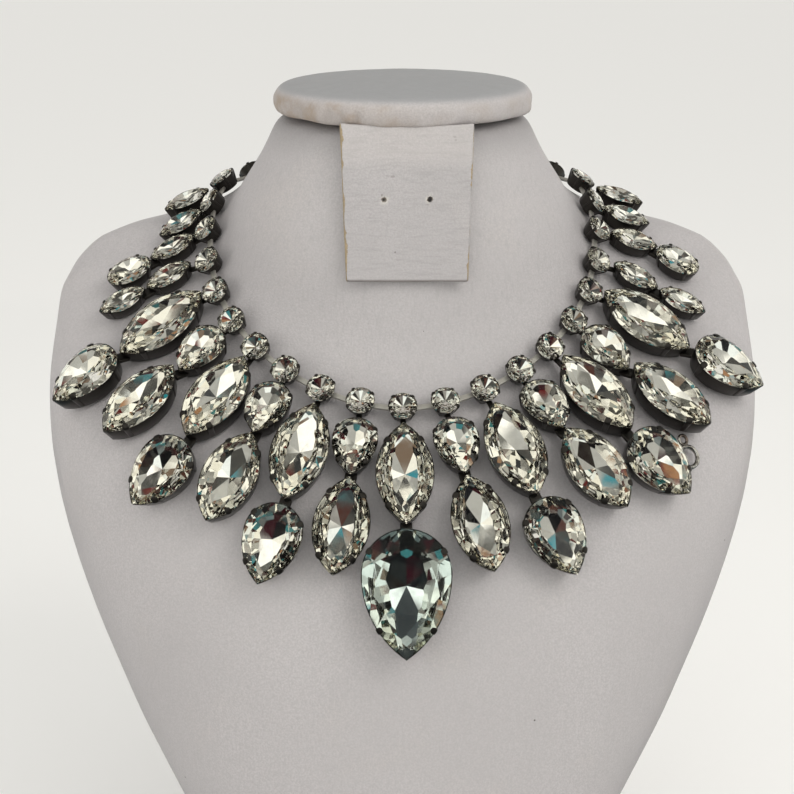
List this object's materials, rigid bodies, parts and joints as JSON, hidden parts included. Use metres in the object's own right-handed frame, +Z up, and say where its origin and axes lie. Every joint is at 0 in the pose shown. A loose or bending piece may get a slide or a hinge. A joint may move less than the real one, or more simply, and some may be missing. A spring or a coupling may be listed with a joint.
{
  "type": "crystal bib necklace on a neck bust",
  "caption": "Bib necklace of foil-backed marquise, pear and round crystals in dark claw cups, hung on a padded leatherette neck bust.",
  "frame": {"origin": "centre of the flat underside of the bust, on the surface it stands on", "axes": "+Z up, -Y towards the front of the bust, +X to the right as seen from the front"},
  "size_m": [0.232, 0.1639, 0.2604],
  "materials": {
    "leatherette": "pale lilac-grey, fine grain, satin",
    "crystal": "clear, cut and polished, foil-backed",
    "gunmetal": "dark oxidised plating, satin",
    "bright_metal": "bright silver plating"
  },
  "bodies": {
    "root": {"bust_body": "leatherette", "bust_cap": "leatherette", "chain_front": "gunmetal", "chain_left": "gunmetal", "chain_right": "gunmetal", "crystal_centre_lower": "crystal", "crystal_centre_upper": "crystal", "crystal_left_10": "crystal", "crystal_left_1_lower": "crystal", "crystal_left_1_upper": "crystal", "crystal_left_2_lower": "crystal", "crystal_left_2_upper": "crystal", "crystal_left_3_lower": "crystal", "crystal_left_3_upper": "crystal", "crystal_left_4_lower": "crystal", "crystal_left_4_upper": "crystal", "crystal_left_5_lower": "crystal", "crystal_left_5_upper": "crystal", "crystal_left_6_lower": "crystal", "crystal_left_6_upper": "crystal", "crystal_left_7_lower": "crystal", "crystal_left_7_upper": "crystal", "crystal_left_8_lower": "crystal", "crystal_left_8_upper": "crystal", "crystal_left_9": "crystal", "crystal_right_10": "crystal", "crystal_right_1_lower": "crystal", "crystal_right_1_upper": "crystal", "crystal_right_2_lower": "crystal", "crystal_right_2_upper": "crystal", "crystal_right_3_lower": "crystal", "crystal_right_3_upper": "crystal", "crystal_right_4_lower": "crystal", "crystal_right_4_upper": "crystal", "crystal_right_5_lower": "crystal", "crystal_right_5_upper": "crystal", "crystal_right_6_lower": "crystal", "crystal_right_6_upper": "crystal", "crystal_right_7_lower": "crystal", "crystal_right_7_upper": "crystal", "crystal_right_8_lower": "crystal", "crystal_right_8_upper": "crystal", "crystal_right_9": "crystal", "earring_flap": "leatherette", "nape_clasp": "bright_metal", "setting_centre": "gunmetal", "setting_left_1": "gunmetal", "setting_left_2": "gunmetal", "setting_left_3": "gunmetal", "setting_left_4": "gunmetal", "setting_left_5": "gunmetal", "setting_left_6": "gunmetal", "setting_right_1": "gunmetal", "setting_right_2": "gunmetal", "setting_right_3": "gunmetal", "setting_right_4": "gunmetal", "setting_right_5": "gunmetal", "setting_right_6": "gunmetal", "side_ring": "bright_metal"}
  },
  "joints": []
}
